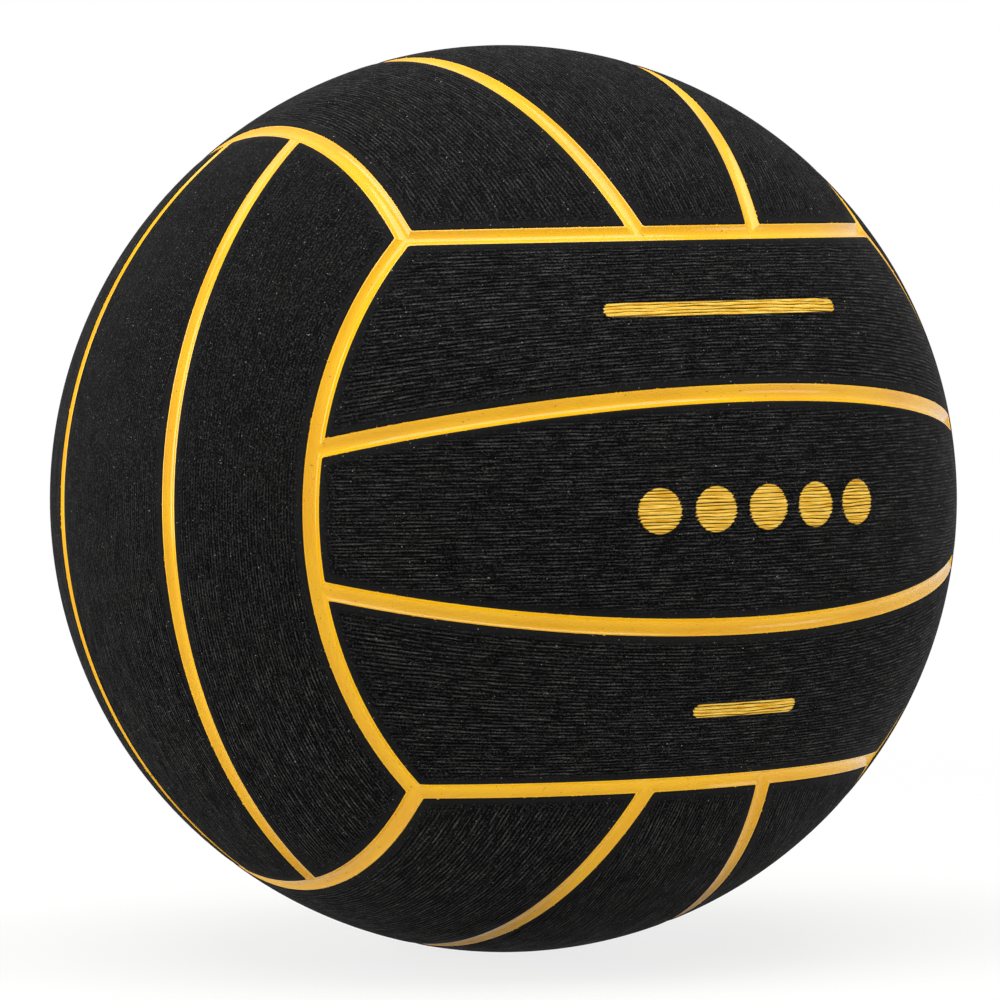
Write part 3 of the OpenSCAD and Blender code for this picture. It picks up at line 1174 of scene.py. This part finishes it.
@dataclass
class Panel:
    """A panel between four seams, with ribs that run along it."""

    group: Group
    slot: int
    tree: RibTree
    finish: bpy.types.Material
    columns: int = 64
    valve_clear: float = 0.0

    def place(self, directions: np.ndarray, radius: float) -> np.ndarray:
        """Puts directions on the panel's side of the group, at a radius from the centre of the ball."""
        return self.group.place(directions * np.array([1, self.slot or 1, 1])) * radius

    def sides(self) -> tuple[Circle, Circle, Circle, Circle]:
        """The seams below, right, above and left of the panel, for a slot of 0 or 1.

        Returns:
            The four circles, with their axes pointing away from the panel.
        """
        below = inner_circle(1, -1) if self.slot else inner_circle(-1, 1)
        above = long_circle(1) if self.slot else inner_circle(1, 1)
        return below, end_circle(1), above, end_circle(-1)

    def reach(self, row: Circle, distance: float) -> float:
        """Half the angle of a row between the seams.

        Args:
            row: The circle of the row.
            distance: How far from the middle of the seams the row ends.

        Returns:
            The angle from the middle of the row to its end.
        """
        below, right, above, _ = self.sides()
        found = [math.pi]
        for side in (right,) if self.slot else (below, right, above):
            edge = side.inset(distance)
            along = math.cos(row.latitude) * float(row.middle @ edge.axis)
            rest = math.sin(edge.latitude) - math.sin(row.latitude) * float(row.axis @ edge.axis)
            if along < -LEAST_SLOPE and rest / along > -1:
                found.append(math.acos(min(1.0, rest / along)))
        return min(found)

    def row(self, circle: Circle, turn: float) -> Row:
        """A row that runs from rim to rim.

        Args:
            circle: The circle of the row.
            turn: Its place, counted in ribs.

        Returns:
            The row, whose inner part keeps clear of the fading ribs where there is room.
        """
        half = self.reach(circle, FIELD_INSET)
        return Row(circle, half, max(self.reach(circle, FIELD_INSET + FADE), LEAST_INNER_SHARE * half), turn)

    def rows(self) -> list[Row]:
        """The rows of the field.

        Returns:
            The rows from the lower seam to the upper one.
        """
        inset = FIELD_INSET / BALL_RADIUS
        if self.slot:
            high = math.pi / 2 - EDGE_POLAR - inset
            count = RIB_STEPS * round((high - inset - INNER_SEAM_TILT) * BALL_RADIUS / RIB_PITCH)
            made = []
            for k in range(count + 1):
                share = k / count
                axis, middle = tilted(1, INNER_SEAM_TILT * (1 - share))
                made.append(self.row(Circle(axis, inset + (high - inset) * share, middle), k / RIB_STEPS))
            return made
        step = RIB_PITCH / RIB_STEPS / BALL_RADIUS
        count = int((INNER_SEAM_TILT - inset) / step - SPARE_STEP)
        steps = range(-count, count + 1)
        made = [self.row(Circle(ACROSS, k * step, OUTWARD), k / RIB_STEPS + 0.5) for k in steps]
        return [self.end_row(-1, made[0]), *made, self.end_row(1, made[-1])]

    def end_row(self, side: int, last: Row) -> Row:
        """The row along the inner seam on one side of a middle panel.

        Args:
            side: The side, -1 or 1.
            last: The row beside it.

        Returns:
            The row, a little shorter than the one beside it.
        """
        edge = inner_circle(side, 1).inset(FIELD_INSET)
        end = last.circle.points(np.array([last.half_angle]))
        half = END_ROW_SHARE * abs(float(edge.angle(end)[0]))
        return Row(Circle(edge.axis * side, edge.latitude * side, edge.middle), half, END_INNER_SHARE * half,
                   last.turn)

    def shares(self) -> np.ndarray:
        """The places of the inner columns.

        Returns:
            Their shares of a row's inner angle, finer in the middle where the panel has the valve.
        """
        if not self.valve_clear:
            return np.linspace(-1, 1, self.columns - 1)
        fine = self.valve_clear * VALVE_REACH / BALL_RADIUS / VALVE_ROW_ANGLE
        outer = np.linspace(fine, 1, self.columns // 2)[1:]
        return np.concatenate([-outer[::-1], np.linspace(-fine, fine, VALVE_COLUMNS), outer])

    def field_points(self, rows: Sequence[Row]) -> np.ndarray:
        """The directions of the field's points.

        Args:
            rows: The rows of the field.

        Returns:
            The directions, row by row.
        """
        shares = self.shares()
        made = []
        for row in rows:
            angles = np.concatenate([[-row.half_angle], shares * row.inner_angle, [row.half_angle]])
            made.append(row.circle.points(angles))
        return np.stack(made)

    def mask(self, directions: np.ndarray, depths: np.ndarray) -> np.ndarray:
        """The strength of the ribs, which fade along the seams and round the valve and wear down above.

        Args:
            directions: The directions of the field's points.
            depths: Their distances from the rim, for each of the four seams.

        Returns:
            The strength at each point, from 0 to 1.
        """
        nearness = (1 / np.maximum(depths, LEAST_DEPTH)).sum(axis=0)
        mask = np.clip(1 / (nearness * FADE), 0, 1) ** FADE_POWER
        height = self.group.place(directions)[..., 2]
        mask *= 1 - self.group.wear * np.clip((height - WEAR_START) / WEAR_RISE, 0, 1)
        if self.valve_clear:
            off_axis = np.hypot(directions[..., 0], directions[..., 1]) * BALL_RADIUS
            mask *= np.clip((off_axis - self.valve_clear) / FADE, 0, 1)
        return mask

    def stretches(self, distance: float) -> list[Stretch]:
        """The outline of the panel at a distance from the seams.

        Args:
            distance: The distance from the middle of the seams.

        Returns:
            The stretches below, right, above and left, each from its first corner.
        """
        below, right, above, left = inset = [side.inset(distance) for side in self.sides()]
        made = []
        corners = [below.meets(left, -1), below.meets(right, 1), above.meets(right, 1)]
        corners.append(above.meets(left, -1))
        for side, corner, following in zip(inset, corners, corners[1:] + corners[:1]):
            made.append(Stretch(side, corner, float(side.angle(corner)), float(side.angle(following))))
        return made

    def border(self, points: np.ndarray) -> tuple[np.ndarray, np.ndarray]:
        """Finds the border's points on the outline of the field.

        Args:
            points: The directions of the border's points.

        Returns:
            The number of the side of each point and its share of the way along the side.
        """
        stretches = self.stretches(FIELD_INSET)
        away = np.stack([np.abs(stretch.circle.depth(points)) for stretch in stretches])
        away[1][points[:, 0] < 0] = math.inf
        away[3][points[:, 0] > 0] = math.inf
        side_of = np.argmin(away, axis=0)
        share = np.zeros(len(points))
        for k, stretch in enumerate(stretches):
            here = side_of == k
            share[here] = stretch.shares(points[here])
        return side_of, np.clip(share, 0, 1)

    def ring(self, side_of: np.ndarray, share: np.ndarray, distance: float, rounding: float) -> np.ndarray:
        """The border's points at another distance from the seams, with rounded corners.

        Args:
            side_of: The side of each point.
            share: The place of each point along its side.
            distance: The distance from the middle of the seams.
            rounding: The length along a side over which its corner is rounded.

        Returns:
            The directions of the points.
        """
        stretches = self.stretches(distance)
        made = np.zeros((len(share), 3))
        for k, own in enumerate(stretches):
            here = side_of == k
            made[here] = own.points(share[here])
            for end in (0, 1):
                run = own.length * (share if end == 0 else 1 - share)
                near = here & (run < rounding)
                if near.any():
                    far = stretches[(k + 2 * end - 1) % 4].beside(1 - end, rounding)
                    way = (0.5 + 0.5 * run[near] / rounding)[:, None]
                    corner = stretches[(k + end) % 4].corner
                    made[near] = unit(bend(far, corner, own.beside(end, rounding), way))
        return made

    def build(self) -> bpy.types.Object:
        """Builds the panel.

        Returns:
            The finished piece, which stands for the panel's node.
        """
        parts = MeshParts()
        rows = self.rows()
        directions = self.field_points(rows)
        depths = np.array([side.inset(FIELD_INSET).depth(directions) for side in self.sides()])
        turns = np.array([row.turn for row in rows])[:, None]
        along = np.arctan2(directions[..., 0], directions[..., 2]) * BALL_RADIUS
        top = parts.add(self.place(directions, BALL_RADIUS), rib_turn=turns, rib_along=along,
                        rib_mask=self.mask(directions, depths), rim=SHOULDER_WIDTH + depths.min(axis=0))
        parts.grid(top)
        loop = np.concatenate([top[0], top[1:-1, -1], top[-1, ::-1], top[1:-1, 0][::-1]])
        side_of, share = self.border(directions.reshape(-1, 3)[loop])
        rings = [loop]
        for distance, depth in RIM_SECTION:
            rounding = CORNER_ROUNDING * (1 - distance / SHOULDER_WIDTH)
            ring = self.ring(side_of, share, GROOVE_WIDTH / 2 + distance, rounding)
            rings.append(parts.add(self.place(ring, BALL_RADIUS - depth), **UNRIBBED, rim=distance))
        parts.grid(np.stack(rings)[::-1], closed=True)
        self.underside(parts, rings[-1], directions)
        name = self.group.panel(self.slot)
        piece = new_object(f"{name}_cover", parts.mesh(name, flipped=self.slot < 0))
        self.tree.shape(piece, self.finish, float(len(name) + self.slot))
        return piece

    def underside(self, parts: MeshParts, ring: np.ndarray, directions: np.ndarray) -> None:
        """Closes the panel below with a coarser grid.

        Args:
            parts: The mesh that is being built.
            ring: The indices of the lowest ring of the rim.
            directions: The directions of the field's points.
        """
        last = directions.shape[0] - 1
        width = directions.shape[1]
        chosen = [0, *range(RIB_STEPS // 2, last - UNDERSIDE_MARGIN, RIB_STEPS), last]
        own = parts.add(self.place(directions[chosen[1:-1], 1:-1], COVER_FLOOR), **UNRIBBED, rim=0.0)
        bottom, right, above, left = np.split(ring, [width, width + last - 1, 2 * width + last - 1])
        above, left = above[::-1], left[::-1]
        lines = [bottom[1:-1], *own, above[1:-1]]
        left = np.concatenate([bottom[:1], left, above[:1]])
        right = np.concatenate([bottom[-1:], right, above[-1:]])
        for low, high, start, stop in zip(lines, lines[1:], chosen, chosen[1:]):
            parts.add_faces(np.stack([low[:-1], high[:-1], high[1:], low[1:]], axis=-1))
            parts.add_faces(np.concatenate([low[:1], left[start:stop + 1], high[:1]]))
            parts.add_faces(np.concatenate([high[-1:], right[start:stop + 1][::-1], low[-1:]]))


# Strips


# Distances of a strip's lines from its middle, from the edge inward
HALF_LINES = np.array([2.55, 2.3, 2.1, 1.95, 1.8, 1.6, 1.3, 0.9, 0.45]) * MM
STRIP_REACH = float(HALF_LINES[0])
STRIP_LINES = np.concatenate([-HALF_LINES, [0.0], HALF_LINES[::-1]])
STRIP_SHARP_ANGLE = math.radians(35)
# Offset that stands for no inner channel near by
NO_MOUTH = 10 * MM
# Columns of an edge strip between its middle and an inner channel's mouth, at the mouth, and beyond it
INNER_COLUMNS = 7
MOUTH_COLUMNS = 34
OUTER_COLUMNS = 26
MOUTH_REACH = 4.2 * MM


@dataclass
class Strip:
    """A strip of yellow rubber along a seam of one group."""

    name: str
    group: Group
    side: int
    tree: ChannelTree
    finish: bpy.types.Material

    def points(self, across: float) -> np.ndarray:
        """The directions along one line of the strip."""
        raise NotImplementedError

    def mouth(self, across: float, line: np.ndarray) -> np.ndarray:
        """The offset of a line's points from the nearest channel that runs in.

        Args:
            across: The place of the line across the strip.
            line: The directions of its points.

        Returns:
            The offset of each point.
        """
        return np.full(len(line), NO_MOUTH)

    def build(self) -> bpy.types.Object:
        """Builds the strip.

        Returns:
            The finished piece, which stands for the strip's node.
        """
        parts = MeshParts()
        lines = []
        for across in STRIP_LINES:
            line = self.points(across)
            lines.append(parts.add(self.group.place(line) * BALL_RADIUS, across=across,
                                   mouth=self.mouth(across, line), top=1.0))
        for across in (STRIP_REACH, 0.0, -STRIP_REACH):
            lines.append(parts.add(self.group.place(self.points(across)) * COVER_FLOOR, across=across,
                                   mouth=NO_MOUTH, top=0.0))
        rows = np.stack(lines, axis=1)
        parts.grid(rows, closed=True)
        middle = len(STRIP_LINES) // 2
        for column, step in ((0, -1), (-1, 1)):
            tops, (right, low, left) = np.split(rows[column], [len(STRIP_LINES)])
            for half in ([*tops[:middle + 1], low, left], [*tops[middle:], right, low]):
                parts.add_faces(np.array(half[::step]))
        piece = new_object(f"{self.name}_rubber", parts.mesh(self.name))
        mend_normals(piece.data)
        self.tree.shape(piece, self.finish, float(len(self.name) + self.side))
        piece.data.set_sharp_from_angle(angle=STRIP_SHARP_ANGLE)
        return piece


@dataclass
class SeamStrip(Strip):
    """A strip along an inner seam, from one edge strip to the other."""

    columns: int = 90

    def points(self, across: float) -> np.ndarray:
        """The directions along one line, which ends beside the edge strips.

        Args:
            across: The place of the line across the strip.

        Returns:
            The directions.
        """
        axis, middle = tilted(self.side, INNER_SEAM_TILT)
        circle = Circle(axis, across / BALL_RADIUS, middle)
        end = circle.meets(end_circle(1).inset(STRIP_REACH), 1)
        angle = abs(float(circle.angle(end)))
        return circle.points(np.linspace(-angle, angle, self.columns))


@dataclass
class EdgeStrip(Strip):
    """A strip along an edge seam, mitred at its corners and open to the inner channels."""

    def mitre(self, across: float) -> float:
        """The azimuth at which a line of the strip ends.

        The mitre lies in the plane 2x = y + z on the group's side of the seam, and in 2y = x + z beyond it.

        Args:
            across: The place of the line across the strip, from the group outward.

        Returns:
            The azimuth about the group's outward direction.
        """
        polar = EDGE_POLAR + across / BALL_RADIUS
        first, second = (2, -1) if across < 0 else (-1, 2)
        turn = math.acos(1 / math.tan(polar) / math.hypot(first, second))
        return math.atan2(second, first) + (turn if across < 0 else -turn)

    def shares(self) -> np.ndarray:
        """The places of the columns, finer where the inner channels run in.

        Returns:
            Their shares of the azimuth at which a line ends.
        """
        mouth = math.asin(math.tan(INNER_SEAM_TILT) / math.tan(EDGE_POLAR)) / CORNER_AZIMUTH
        reach = MOUTH_REACH / (math.sin(EDGE_POLAR) * BALL_RADIUS) / CORNER_AZIMUTH
        half = np.concatenate([
            np.linspace(0, mouth - reach, INNER_COLUMNS)[:-1],
            np.linspace(mouth - reach, mouth + reach, MOUTH_COLUMNS),
            np.linspace(mouth + reach, 1, OUTER_COLUMNS)[1:],
        ])
        return np.concatenate([-half[:0:-1], half])

    def points(self, across: float) -> np.ndarray:
        """The directions along one line, from mitre to mitre.

        Args:
            across: The place of the line across the strip.

        Returns:
            The directions.
        """
        polar = EDGE_POLAR + across / BALL_RADIUS
        azimuth = self.shares() * self.mitre(across)
        flat = np.stack([np.cos(azimuth), np.sin(azimuth)], axis=-1) * math.sin(polar) * self.side
        return np.concatenate([flat, np.full((len(azimuth), 1), math.cos(polar))], axis=1)

    def mouth(self, across: float, line: np.ndarray) -> np.ndarray:
        """The offset from the nearer inner seam, on the side of the group only.

        Args:
            across: The place of the line across the strip.
            line: The directions of its points.

        Returns:
            The offset of each point.
        """
        if across >= 0:
            return super().mouth(across, line)
        return np.min([np.abs(inner_circle(side, 1).depth(line)) for side in (-1, 1)], axis=0)


# Cover


# The hole for the valve's boss: what it adds to the boss's radius, at heights over the centre of the ball
BOSS_HOLE = ((0.0, 100 * MM), (0.0, 109.2 * MM), (0.4 * MM, 109.8 * MM), (1.2 * MM, 112 * MM))


@dataclass
class Cover:
    """The eighteen panels and twenty-four strips of the ball."""

    valve_clear: float = 7.2 * MM
    boss_radius: float = 5.7 * MM

    def build(self) -> list[bpy.types.Object]:
        """Builds every panel and strip.

        Returns:
            The finished pieces.
        """
        ribs = RibTree("pressed_ribs", RIB_TREE)
        channels = ChannelTree("hollow_channel", CHANNEL_TREE)
        black = BLACK_RUBBER.material()
        printed = PRINTED_RUBBER.material()
        yellow = YELLOW_RUBBER.material()
        made = []
        for group in GROUPS:
            finish = printed if group.name == PRINTED_GROUP else black
            for slot in (-1, 0, 1):
                has_valve = group.name == VALVE_GROUP and slot == 0
                clear = self.valve_clear if has_valve else 0.0
                piece = Panel(group, slot, ribs, finish, valve_clear=clear).build()
                if has_valve:
                    self.bore(piece, group)
                finish_piece(piece, BALL_BODY, group.panel(slot))
                made.append(piece)
            for side in (-1, 1):
                names = {SeamStrip: group.seam_strip(side), EdgeStrip: group.edge_strip(side)}
                for strip, name in names.items():
                    piece = strip(name, group, side, channels, yellow).build()
                    finish_piece(piece, BALL_BODY, name)
                    made.append(piece)
        return made

    def bore(self, piece: bpy.types.Object, group: Group) -> None:
        """Cuts the round hole for the valve's boss into a panel.

        Args:
            piece: The panel.
            group: The group that it belongs to.
        """
        wall = [(self.boss_radius + added, height) for added, height in BOSS_HOLE]
        outline = [(0.0, wall[0][1]), *wall, (0.0, wall[-1][1])]
        cutter = lathe("boss_cutter", outline, Vector(np.cross(group.along, group.across)))
        cut = piece.modifiers.new("boss_hole", "BOOLEAN")
        cut.operation = "DIFFERENCE"
        cut.solver = "EXACT"
        cut.object = cutter
        plain_mesh(piece)
        bpy.data.objects.remove(cutter)


# Valve plug and inner layers


def rounded(outline: Sequence[tuple[float, float, float]], steps: int = 4) -> list[tuple[float, float]]:
    """Rounds the corners of an outline.

    Args:
        outline: Radius, height and rounding of each corner; the first and the last stay sharp.
        steps: The number of steps in each rounding.

    Returns:
        Radius and height of each point.
    """
    made = [outline[0][:2]]
    for before, corner, after in zip(outline, outline[1:], outline[2:]):
        if corner[2] == 0.0:
            made.append(corner[:2])
            continue
        point = np.array(corner[:2])
        first = point + unit(np.array(before[:2]) - point) * corner[2]
        last = point + unit(np.array(after[:2]) - point) * corner[2]
        for share in np.linspace(0, 1, steps + 1):
            radius, height = bend(first, point, last, share)
            made.append((float(radius), float(height)))
    made.append(outline[-1][:2])
    return made


def lathe(name: str, outline: Sequence[tuple[float, float]], axis: Vector,
          segments: int = 96) -> bpy.types.Object:
    """Turns an outline round an axis through the centre of the ball.

    Args:
        name: The name of the piece.
        outline: Radius and height of each point, starting and ending on the axis or closed.
        axis: The direction of the axis.
        segments: The number of faces round the axis.

    Returns:
        The closed turned piece.
    """
    turn = np.array(axis.to_track_quat("Z", "Y").to_matrix()).T
    parts = MeshParts()
    angles = np.linspace(0, 2 * math.pi, segments, endpoint=False)
    circle = np.stack([np.cos(angles), np.sin(angles), np.zeros(segments)], axis=1)
    rows: list[np.ndarray] = []
    for radius, height in outline:
        if radius == 0.0:
            point = np.array([[0.0, 0.0, height]]) @ turn
            rows.append(np.repeat(parts.add(point), segments))
            continue
        rows.append(parts.add((radius * circle + height * OUTWARD) @ turn))
    for low, high in zip(rows, rows[1:]):
        for k in range(segments):
            m = (k + 1) % segments
            face = list(dict.fromkeys([int(low[k]), int(low[m]), int(high[m]), int(high[k])]))
            if len(face) > 2:
                parts.faces.append(tuple(face))
    piece = new_object(name, parts.mesh(name))
    mend_normals(piece.data)
    return piece


PLUG_SHARP_ANGLE = math.radians(40)


@dataclass
class ValvePlug:
    """The pull-out plug of the valve, with rounded rims, a grip ring and its relief grooves."""

    top: float = BALL_RADIUS - 0.3 * MM
    length: float = 14 * MM
    head_radius: float = 4 * MM
    head_height: float = 1.2 * MM
    head_rounding: float = 0.12 * MM
    barrel_radius: float = 2.8 * MM
    bore_radius: float = 1 * MM
    bore_depth: float = 8 * MM
    bore_rounding: float = 0.3 * MM
    lead_in: float = 0.8 * MM
    lead_in_rounding: float = 0.2 * MM
    edge: float = 0.4 * MM
    relief_width: float = 1 * MM
    relief_depth: float = 0.3 * MM
    relief_rounding: float = 0.06 * MM
    relief_shares: tuple[float, float] = (0.3, 0.55)
    ring_radius: float = 2.9 * MM
    ring_half: float = 0.2 * MM
    ring_depth: float = 0.15 * MM
    ring_rounding: float = 0.08 * MM

    def outline(self) -> list[tuple[float, float, float]]:
        """The outline of the plug, from the tip up and down the bore.

        Returns:
            Radius, height and rounding of each corner.
        """
        tip = self.top - self.length
        shoulder = self.top - self.head_height
        mouth = self.top - self.lead_in
        made = [(0.0, tip, 0.0), (self.barrel_radius, tip, self.edge)]
        for share in self.relief_shares:
            low = tip + share * (shoulder - tip)
            high = low + self.relief_width
            inner = self.barrel_radius - self.relief_depth
            for radius, height in ((self.barrel_radius, low), (inner, low), (inner, high),
                                   (self.barrel_radius, high)):
                made.append((radius, height, self.relief_rounding))
        return made + [
            (self.barrel_radius, shoulder, 0.0),
            (self.head_radius, shoulder, self.head_rounding),
            (self.head_radius, self.top, self.edge),
            (self.ring_radius + self.ring_half, self.top, self.ring_rounding),
            (self.ring_radius, self.top - self.ring_depth, self.ring_rounding),
            (self.ring_radius - self.ring_half, self.top, self.ring_rounding),
            (self.bore_radius + self.lead_in, self.top, self.lead_in_rounding),
            (self.bore_radius, mouth, self.bore_rounding),
            (self.bore_radius, mouth - self.bore_depth, 0.0),
            (0.0, mouth - self.bore_depth - self.bore_radius, 0.0),
        ]

    def build(self) -> bpy.types.Object:
        """Builds the plug.

        Returns:
            The closed turned piece, which stands for the plug's node.
        """
        piece = lathe("valve_plug", rounded(self.outline()), Vector((0.0, 1.0, 0.0)))
        piece.data.set_sharp_from_angle(angle=PLUG_SHARP_ANGLE)
        piece.data.materials.append(PLUG_RUBBER.material())
        finish_piece(piece, PLUG_BODY, "valve_plug")
        return piece


@dataclass(frozen=True)
class Layer:
    """A layer under the cover or a part of the valve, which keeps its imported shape."""

    node: str
    finish: Rubber

    def dress(self) -> None:
        """Gives the layer its material."""
        made = self.finish.material()
        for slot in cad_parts[self.node].material_slots:
            slot.material = made
        log.info("%s: %s", self.node, self.finish.name)


LAYERS = (
    Layer("carcass", CARCASS_RUBBER),
    Layer("thread_winding", WOUND_THREAD),
    Layer("bladder", BLADDER_RUBBER),
    Layer("valve_housing", VALVE_RUBBER),
)


# Studio


@dataclass(frozen=True)
class Lamp:
    """A soft box that looks at the ball, placed in the camera's directions, with its width and height."""

    name: str
    place: tuple[float, float, float]
    size: tuple[float, float]
    power: float


LAMPS = (
    Lamp("left_box", (-1.15, 0.25, -0.05), (0.5, 1.0), 7.5),
    Lamp("right_box", (1.15, 0.1, 0.3), (0.5, 0.5), 2.2),
    Lamp("top_box", (0.0, 1.15, 0.35), (1.5, 0.9), 19.0),
    Lamp("front_box", (-0.7, 0.7, 1.55), (1.6, 1.6), 3.5),
)
# Strength of the surroundings as a light on the ball; to the eye they have a strength of 1
ROOM_LIGHT = 0.3
FLOOR_TONE = "#f2f2f0"
FLOOR_ROUGHNESS = 0.9
FLOOR_HALF = 6.0
# Distances from the centre of the ball between which the floor fades into the background, and the shares
FLOOR_FADE = (0.16, 0.7, 0.8, 1.0)


@dataclass
class Studio:
    """The camera, the lamps, the floor and the pale surroundings."""

    distance: float = 1.4584
    lens: float = 215.9
    shift: tuple[float, float] = (-0.0034, -0.0014)
    clip_start: float = 0.01
    right: tuple[float, float, float] = (0.85417166, -0.51958393, -0.0205747)
    up: tuple[float, float, float] = (0.03796038, 0.02284556, 0.99901806)
    towards: tuple[float, float, float] = (-0.51860369, -0.85411394, 0.03923763)

    def place(self, sideways: float, upward: float, forward: float) -> Vector:
        """A point given in the camera's directions, from the centre of the ball."""
        return Vector(self.right) * sideways + Vector(self.up) * upward + Vector(self.towards) * forward

    def camera(self) -> None:
        """Sets up the camera at the photograph's viewing angle."""
        data = bpy.data.cameras.new("camera")
        data.lens = self.lens
        data.shift_x, data.shift_y = self.shift
        data.clip_start = self.clip_start
        made = new_object("camera", data)
        turn = Matrix((self.right, self.up, self.towards)).transposed()
        made.matrix_world = Matrix.Translation(self.place(0, 0, self.distance)) @ turn.to_4x4()
        bpy.context.scene.camera = made

    def light(self, lamp: Lamp) -> None:
        """Adds one of the lamps.

        Args:
            lamp: The lamp.
        """
        data = bpy.data.lights.new(lamp.name, "AREA")
        data.shape = "RECTANGLE"
        data.size, data.size_y = lamp.size
        data.energy = lamp.power
        place = self.place(*lamp.place)
        turn = place.to_track_quat("Z", "Y").to_matrix().to_4x4()
        new_object(lamp.name, data).matrix_world = Matrix.Translation(place) @ turn

    def white_to_eye(self, nodes: NodeBuilder) -> Socket:
        """Tells the rays that see the background from those that light the ball.

        Args:
            nodes: The nodes of the material or world.

        Returns:
            One for rays from the camera, mirrors and glass, and zero for lighting rays.
        """
        path = nodes.add("ShaderNodeLightPath")
        seen = nodes.math("MAXIMUM", path.outputs["Is Camera Ray"], path.outputs["Is Transmission Ray"])
        return nodes.math("MAXIMUM", seen, path.outputs["Is Glossy Ray"])

    def surroundings(self) -> None:
        """Sets a white background with a low, even light."""
        world = bpy.data.worlds.new("studio")
        bpy.context.scene.world = world
        world.use_nodes = True
        nodes = NodeBuilder(world.node_tree)
        shader = world.node_tree.nodes["Background"]
        shader.inputs["Color"].default_value = (1, 1, 1, 1)
        extra = nodes.math("MULTIPLY", self.white_to_eye(nodes), 1 - ROOM_LIGHT)
        nodes.feed(shader.inputs["Strength"], nodes.math("ADD", extra, ROOM_LIGHT))

    def floor_finish(self) -> bpy.types.Material:
        """Makes the material of the floor.

        Returns:
            A pale matt material that fades into the background away from the ball.
        """
        made = bpy.data.materials.new("pale_floor")
        made.use_nodes = True
        nodes = NodeBuilder(made.node_tree)
        shader = made.node_tree.nodes["Principled BSDF"]
        shader.inputs["Base Color"].default_value = linear(FLOOR_TONE)
        shader.inputs["Roughness"].default_value = FLOOR_ROUGHNESS
        glow = nodes.add("ShaderNodeEmission")
        away = nodes.add("ShaderNodeVectorMath", operation="LENGTH")
        nodes.feed(away.inputs[0], nodes.add("ShaderNodeTexCoord").outputs["Object"])
        fade = nodes.ramp(away.outputs["Value"], *FLOOR_FADE)
        blend = nodes.add("ShaderNodeMixShader")
        share = nodes.math("MULTIPLY", fade, self.white_to_eye(nodes))
        for socket, value in zip(blend.inputs, (share, shader.outputs[0], glow.outputs[0])):
            nodes.feed(socket, value)
        nodes.feed(made.node_tree.nodes["Material Output"].inputs["Surface"], blend.outputs[0])
        return made

    def floor(self) -> None:
        """Adds the pale floor under the ball."""
        parts = MeshParts()
        corners = np.array([[-1, -1, 0], [1, -1, 0], [1, 1, 0], [-1, 1, 0]])
        parts.add_faces(parts.add(corners * FLOOR_HALF - OUTWARD * BALL_RADIUS))
        piece = new_object("floor", parts.mesh("floor"))
        piece.data.materials.append(self.floor_finish())

    def build(self) -> None:
        """Builds the whole studio."""
        self.camera()
        self.surroundings()
        self.floor()
        for lamp in LAMPS:
            self.light(lamp)
        bpy.context.scene.view_settings.view_transform = "Standard"
        log.info("studio: camera, %d lamps, floor and background", len(LAMPS))


def main() -> None:
    """Builds the cover, dresses the layers and sets up the studio."""
    logging.basicConfig(level=logging.INFO)
    Studio().build()
    pieces = Cover().build() + [ValvePlug().build()]
    for layer in LAYERS:
        layer.dress()
    log.info("cover and plug: %d pieces", len(pieces))


if __name__ == "__main__":
    main()
